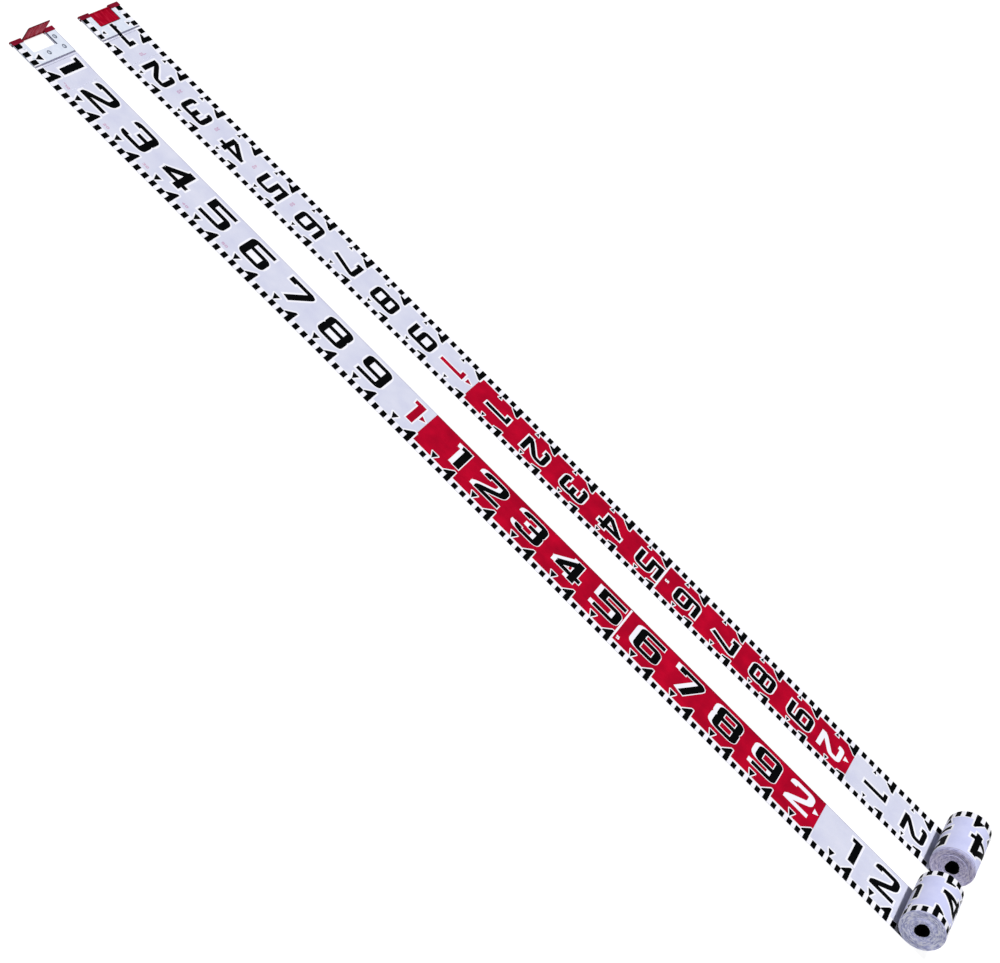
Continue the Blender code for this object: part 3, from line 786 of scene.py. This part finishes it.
def build_rod(rod, seed, laid_face, wound_face, edge, marks, rivets):
    """Cloth, print, seam and wound roll of one rod.  seed starts its random wander, edge is the
    material of its cut cloth, marks are more shapes printed on its fitting, rivets the finish
    of each of its five rivets."""
    node = {n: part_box(f"{rod}_{n}") for n in ("end_bar_left", "tape_end", "tape_run", "tape_roll",
                                              "end_plate_upper", "end_plate_lower", "flap")}
    x0 = node["end_bar_left"][0][0]
    y0, width = node["tape_run"][0][1], node["tape_run"][1][1] - node["tape_run"][0][1]
    thick = node["tape_run"][1][2]
    start = node["tape_end"][0][0] - x0
    plate_end = node["end_plate_upper"][1][0] - x0
    plate_top = node["end_plate_upper"][1][2]
    ramp_end = node["tape_end"][1][0] - x0
    roll_lo, roll_hi = node["tape_roll"]
    roll_x, roll_z = (roll_lo[0] + roll_hi[0]) / 2, (roll_lo[2] + roll_hi[2]) / 2
    laid = node["tape_run"][1][0] - x0
    level = (node["end_plate_lower"][1][2] + node["end_plate_upper"][0][2]) / 2
    ramp_start = plate_end + RAMP_LEAD

    def centre(s):
        """Height of the cloth's middle: level in the fitting, then a smooth fall to the floor."""
        fall = smoothstep((s - ramp_start) / (ramp_end - ramp_start))
        return level + (thick / 2 - level) * fall

    def on_cloth(s, v, h):
        """h above the laid cloth's upper face."""
        return np.column_stack([x0 + s, y0 + v, centre(s) + thick / 2 + h])

    def on_plate(s, v, h):
        """h above the upper plate."""
        return np.column_stack([x0 + s, y0 + v, np.full_like(s, plate_top + h)])

    # ---- laid cloth, one closed body with the flap's window cut out
    window = box_outline(0.0, WINDOW_END, (width - WINDOW_WIDTH) / 2, (width + WINDOW_WIDTH) / 2)
    ramp_lines = np.linspace(ramp_start, ramp_end, RAMP_LINES)
    flat_lines = np.arange(FLAT_STEP, laid, FLAT_STEP)
    flat, tris = triangulate([box_outline(start, laid, 0.0, width)], [window],
                             np.concatenate([ramp_lines, flat_lines]), (start, laid, 0.0, width))
    verts, faces, uv, kind = slab(flat, tris, on_cloth, 0.0, -thick)
    cloth = new_piece(f"{rod}_tape_laid", verts, faces, [CLOTH, edge], "rods", uv,
                      kind, wind=np.column_stack([uv * LAID_MOTTLE, 0 * uv[:, 0]]))
    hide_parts(f"{rod}_tape_end", f"{rod}_tape_run")

    bar_rear = node["end_bar_left"][1][0] - x0
    seam = plate_end + np.linspace(*BLACK_OVER, 6) * MM

    def on_binding(s, v, h):
        """h above the binding: BLACK_RISE sqrt(sin(pi x)) over the cloth, x from 0 to 1 over
        the seam."""
        across = np.clip((s - seam[0]) / (seam[-1] - seam[0]), 0.0, 1.0)
        return on_cloth(s, v, h + BLACK_RISE * np.sqrt(np.sin(np.pi * across)))

    zones = [([], (bar_rear, plate_end, 0.0, width), on_plate, [window], None),
             (seam, (seam[0], seam[-1], 0.0, width), on_binding, [], ["black"]),
             (ramp_lines, (plate_end, laid, 0.0, width), on_cloth, [], None)]
    inks = print_pieces(f"{rod}_laid", "rods", laid_face(bar_rear, laid) + marks, zones)

    # ---- binding along the plates' rear edge, and a row of stitches behind it
    # The binding is an elliptic tube across the cloth.  A stitch is a tube whose radius is
    # r sqrt(1 - (2x - 1)^4) and whose middle is at a sin(pi x) - b, x from 0 to 1 along it.
    around = np.arange(8) * 2 * np.pi / 8
    ends = np.array([BINDING_INSET, width / 2, width - BINDING_INSET])[None, :, None]
    ring_s = plate_end + BINDING_BACK + BINDING_HALF[0] * np.cos(around)
    ring_h = BINDING_LIFT + BINDING_HALF[1] * np.sin(around)
    band = np.broadcast_arrays(ring_s, ends, ring_h)
    along = np.linspace(0.0, 1.0, 7)[None, :, None]
    around = np.arange(6) * 2 * np.pi / 6
    fat = STITCH_RADIUS * np.sqrt(np.clip(1 - (2 * along - 1) ** 4, 0.05, 1))
    hump = np.sin(np.pi * along) * STITCH_RISE - STITCH_SINK
    starts = np.arange(2 * MM, width - 3 * MM, STITCH_PITCH)[:, None, None]
    thread = np.broadcast_arrays(plate_end + STITCH_BACK + fat * np.cos(around),
                                 starts + along * STITCH_LENGTH, hump + fat * np.sin(around))
    for label, mat, grid in (("binding", BINDING_PAINTED_SHADE, band), ("stitches", THREAD, thread)):
        flat_s, flat_v, flat_h = (g.ravel() for g in grid)
        faces = closed_tubes(grid[0])[:, ::-1]
        new_piece(f"{rod}_{label}", on_cloth(flat_s, flat_v, flat_h), faces, [mat],
                               "rods", np.column_stack([flat_s, flat_v]),
                               smooth=True)

    # ---- wound cloth: a strip along the spiral r = R - pitch t / 2 pi from the tangent under the
    # roll (t = 0) to the core, where it curls inwards; each turn also wanders sideways
    pitch = thick + LAYER_GAP
    outer = roll_z - roll_lo[2]
    turns = (outer - CORE_RADIUS) / pitch
    step = 2 * np.pi / TURN_SEGMENTS
    theta = np.arange(0.0, 2 * np.pi * turns, step)
    radius = outer - pitch * theta / (2 * np.pi)
    curl = np.arange(1, int(CURL_TURN * TURN_SEGMENTS) + 1) * step
    fall = smoothstep(curl / curl[-1]) * CURL_EASE + (1.0 - CURL_EASE) * curl / curl[-1]
    theta = np.concatenate([theta, theta[-1] + curl])
    radius = np.concatenate([radius, radius[-1] - pitch * curl / (2 * np.pi)
                             - (CORE_RADIUS - CURL_RADIUS) * fall])
    arc = laid + np.concatenate([[0.0], np.cumsum(0.5 * (radius[1:] + radius[:-1]) * step)])
    random = np.random.default_rng(seed)
    turn = theta / (2 * np.pi)
    knots = np.arange(int(turn[-1]) + 3)    # a few past the last turn
    wander = np.cumsum(random.normal(0.0, WANDER_STEP, len(knots))) * MM
    wander -= np.linspace(wander[0], wander[-1], len(knots))
    jumps = random.normal(0.0, WANDER_JUMP, len(knots)) * MM
    side = np.interp(turn, knots, wander + jumps) * np.clip(turn / DRIFT_TURNS, 0.0, 1.0)
    side = np.clip(side, -WANDER_LIMIT, WANDER_LIMIT) - ROLL_DRIFT * smoothstep(turn / DRIFT_TURNS)
    # each row: outer face at the low edge, outer at the high edge, inner high, inner low
    row_r = np.column_stack([radius, radius, radius - thick, radius - thick])
    row_y = y0 + side[:, None] + np.array([0.0, width, width, 0.0])[None, :]
    sin, cos = np.sin(theta)[:, None], np.cos(theta)[:, None]
    verts = np.stack([roll_x + row_r * sin, row_y, roll_z - row_r * cos], axis=2).reshape(-1, 3)
    count = len(theta)
    i = np.arange(count - 1)[:, None] * 4
    corner = np.arange(4)[None, :]
    a, b = i + corner, i + (corner + 1) % 4
    faces = np.stack([a, b, b + 4, a + 4], axis=2).reshape(-1, 4)
    kind = np.tile(np.array([0, 1, 0, 1]), count - 1)
    ragged = RAGGED[0] * np.sin(2 * theta[:-1] + seed) + RAGGED[1] * np.sin(3 * theta[:-1])
    # Black ink on every face of the last turns and the curl: painted shade in the roll's hole.
    dark = np.repeat(turn[:-1] > turn[-1] - CORE_SHADE_TURNS - CURL_TURN + ragged, 4)
    kind = np.where(dark, 2, kind)
    faces = np.vstack([faces, [[3, 2, 1, 0]], [4 * count + np.arange(-4, 0)]])
    kind = np.concatenate([kind, [1, 1]])
    uv = np.column_stack([np.repeat(arc, 4), np.tile([0.0, width, width, 0.0], count)])
    uv[2::4, 1] += UV_SKEW
    spot = np.repeat(theta, 4)
    wind = np.column_stack([MOTTLE_ROUND * np.cos(spot), MOTTLE_ROUND * np.sin(spot),
                            row_r.ravel() / MOTTLE_RADIAL + seed])
    wound = new_piece(f"{rod}_tape_wound", verts, faces, [CLOTH_ROLL_PAINTED_LIGHT, edge, BLACK_INK],
                      f"{rod}_tape_roll", uv, kind, wind=wind)
    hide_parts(f"{rod}_tape_roll")

    def on_roll(s, v, h):
        """h outside the roll's outermost turn; v is measured from the far side, because the
        other face of the tape is outside."""
        t = np.interp(s, arc, theta)
        r = outer - pitch * t / (2 * np.pi) + h
        low = y0 + np.interp(t, theta, side)
        return np.column_stack([roll_x + r * np.sin(t), low + width - v, roll_z - r * np.cos(t)])

    once = arc[TURN_SEGMENTS]
    zones = [(arc[1:TURN_SEGMENTS], (laid, once, 0.0, width), on_roll, [], None)]
    wound_inks = print_pieces(f"{rod}_wound", f"{rod}_tape_roll", wound_face(laid, once), zones)

    # ---- metal pieces of the fitting keep their shape and get their finish
    finish = {"end_bar_left": BAR_PAINT, "end_bar_right": BAR_PAINT, "end_plate_upper": PLATE_PAINT,
              "end_plate_lower": PLATE_PAINT, "flap": FLAP_PAINTS[rod], "hinge_pin": STEEL}
    finish.update({f"rivet_{n}": mat for n, mat in enumerate(rivets, start=1)})
    for name, mat in finish.items():
        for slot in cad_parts[f"{rod}_{name}"].material_slots:
            slot.material = mat


# Painted shade on the fitting: a ring round each rivet head away from the scale, the shadow of
# its dimple, and a line along the far side of the flap's window, the shadow in the flap's gap.
RIVET_SPOTS = [(22.5 * MM, 105 * MM), (47.5 * MM, 105 * MM), (47.5 * MM, 60 * MM)]
RING_OUTER = 4.9 * MM
RING_INNER = 3.5 * MM         # a rivet's head lies inside
WINDOW_LINE = box_outline(10 * MM, 38 * MM, 91.8 * MM, 96.2 * MM)
PAINTED_SHADE_MARKS = [("painted_shade", LIFT_FIELD, [disc(spot, RING_OUTER, 24) for spot in RIVET_SPOTS]
           + [WINDOW_LINE], [disc(spot, RING_INNER, 24) for spot in RIVET_SPOTS])]

build_rod("rod_a", 11, upright_face, turned_face, EDGE, PAINTED_SHADE_MARKS,
          [PLATE_PAINT, STEEL, PLATE_PAINT, STEEL, STEEL])
build_rod("rod_b", 23, turned_face, upright_face, EDGE_WARM, [],
          [PLATE_PAINT, PLATE_PAINT, PLATE_PAINT, PLATE_PAINT, RIVET_BLACK])

# ================================================================ floor, light and camera


def backdrop_paper():
    """White translucent paper on a light table: it glows nearly evenly from below, so that what
    lies on it hardly casts a shadow, and reflects a little of the light from above."""
    mat, tree, shader = start_material("light_table_paper", 0.9, Base_Color=linear("696969"),
                                       Emission_Strength=0.93)
    place = add_node(tree, "ShaderNodeTexCoord")
    cloud = add_node(tree, "ShaderNodeTexNoise", {"Vector": place.outputs["Object"]}, in_Scale=1.5)
    tree.links.new(colour_ramp(tree, cloud.outputs["Fac"], [(0.3, "FBFBFB"), (0.7, "FEFEFE")]),
                   shader.inputs["Emission Color"])
    return mat


FLOOR_HALF = 12.0
corners = [(x * FLOOR_HALF, y * FLOOR_HALF, 0) for x, y in ((-1, -1), (1, -1), (1, 1), (-1, 1))]
floor_mesh = bpy.data.meshes.new("floor")
floor_mesh.from_pydata(corners, [], [(0, 1, 2, 3)])
floor_mesh.materials.append(backdrop_paper())
floor = bpy.data.objects.new("floor", floor_mesh)
bpy.context.scene.collection.objects.link(floor)

# Colours are shown as they are, with no film curve, so the white paper and the inks keep theirs.
bpy.context.scene.view_settings.view_transform = "Standard"

world = bpy.data.worlds.new("studio")
bpy.context.scene.world = world
world.use_nodes = True
sky = world.node_tree.nodes["Background"]
sky.inputs["Color"].default_value = linear("E6EAFF")
sky.inputs["Strength"].default_value = 0.12

lamp = bpy.data.lights.new("overhead", "SUN")
lamp.energy = 2.95
lamp.angle = math.radians(5.0)
lamp_object = bpy.data.objects.new("overhead", lamp)
lamp_object.rotation_euler = (math.radians(3.0), math.radians(-6.0), 0.0)
bpy.context.scene.collection.objects.link(lamp_object)

CAMERA_PLACE = Vector((0.0423, -2.9827, 2.2196))
VIEW_ALONG = Vector((-0.00656, 0.79756, -0.60320)).normalized()
CAMERA_ROLL = math.radians(44.75)       # the rods run corner to corner of the frame
level_right = VIEW_ALONG.cross(Vector((0, 0, 1))).normalized()
level_up = level_right.cross(VIEW_ALONG)
right = level_right * math.cos(CAMERA_ROLL) + level_up * math.sin(CAMERA_ROLL)
up = right.cross(VIEW_ALONG)
camera = bpy.data.cameras.new("camera")
camera.lens = 72.93
camera.sensor_width = 36.0
camera.clip_end = 50.0
camera_object = bpy.data.objects.new("camera", camera)
turn = Matrix((right, up, -VIEW_ALONG)).transposed().to_4x4()
camera_object.matrix_world = Matrix.Translation(CAMERA_PLACE) @ turn
bpy.context.scene.collection.objects.link(camera_object)
bpy.context.scene.camera = camera_object
